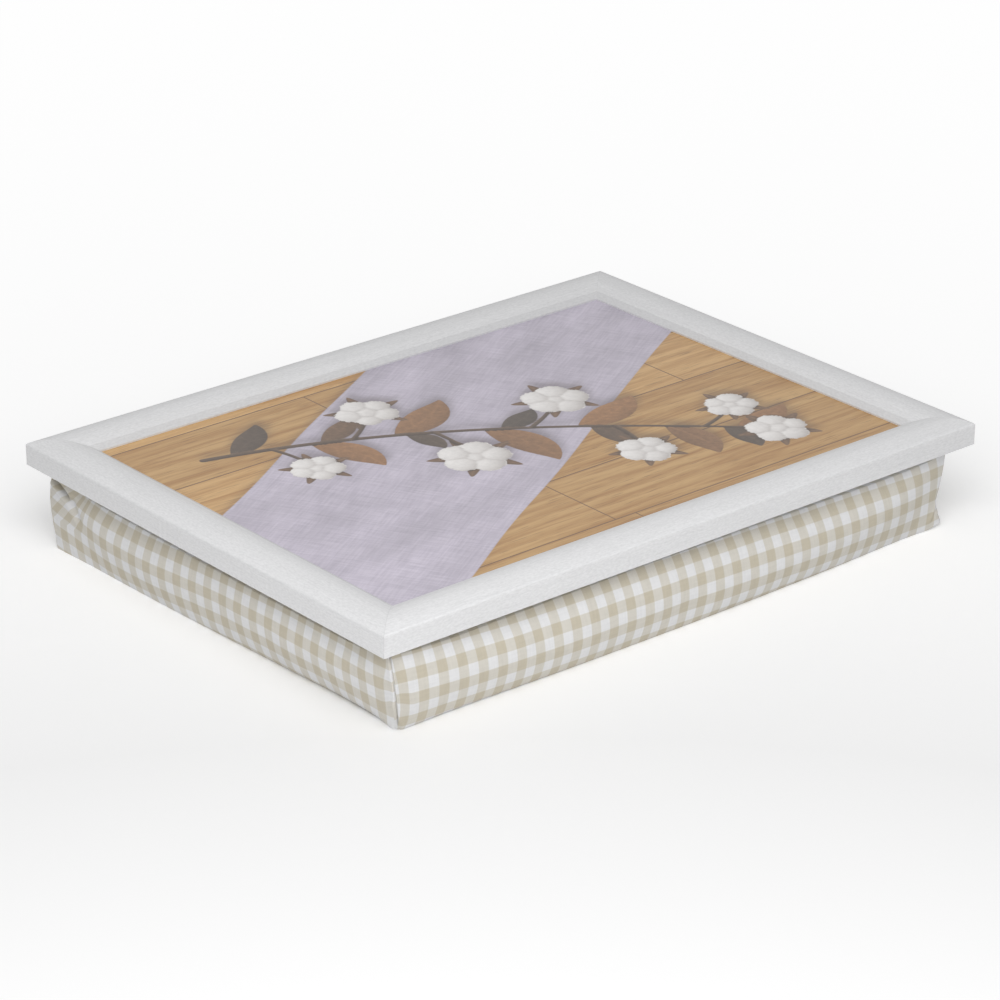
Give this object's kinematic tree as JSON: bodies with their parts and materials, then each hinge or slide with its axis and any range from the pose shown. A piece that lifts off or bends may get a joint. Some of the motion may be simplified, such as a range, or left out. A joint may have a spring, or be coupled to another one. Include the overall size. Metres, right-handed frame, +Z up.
{
  "type": "lap tray",
  "caption": "Rectangular lap tray: a mitred pale wood-grain frame round a printed board, which lifts off a bead-filled gingham cushion that beds down on the lap.",
  "frame": {"origin": "on the surface the cushion stands on, under the middle of the frame", "axes": "+X along the long side towards the user's right, +Y away from the user, +Z up"},
  "size_m": [0.43, 0.32, 0.066],
  "materials": {
    "limed_foil": "satin limed wood-grain foil on a fibreboard moulding",
    "nail_steel": "bright stamped steel",
    "printed_laminate": "satin melamine over printed paper",
    "hardboard": "raw hardboard",
    "hook_tape": "woven nylon tape with hooks",
    "loop_tape": "brushed nylon loop tape",
    "gingham_cotton": "plain-woven beige and white gingham cotton",
    "cotton_lining": "undyed plain-woven cotton",
    "liner_cloth": "white non-woven cloth",
    "beads": "loose white foamed beads"
  },
  "bodies": {
    "cushion": {"cover_body": "gingham_cotton", "cover_top": "cotton_lining", "inner_liner": "liner_cloth", "bead_filling": "beads", "loop_strip_front": "loop_tape", "loop_strip_back": "loop_tape", "loop_strip_left": "loop_tape", "loop_strip_right": "loop_tape"},
    "tray": {"front_rail": "limed_foil", "back_rail": "limed_foil", "left_rail": "limed_foil", "right_rail": "limed_foil", "corner_v_nails": "nail_steel", "board_points": "nail_steel", "printed_sheet": "printed_laminate", "tray_board": "hardboard", "hook_strip_front": "hook_tape", "hook_strip_back": "hook_tape", "hook_strip_left": "hook_tape", "hook_strip_right": "hook_tape"}
  },
  "joints": [
    {"name": "tray_lift", "type": "slide", "parent": "cushion", "child": "tray", "axis": [0, 0, 1], "range_m": [0, 0.12]}
  ]
}
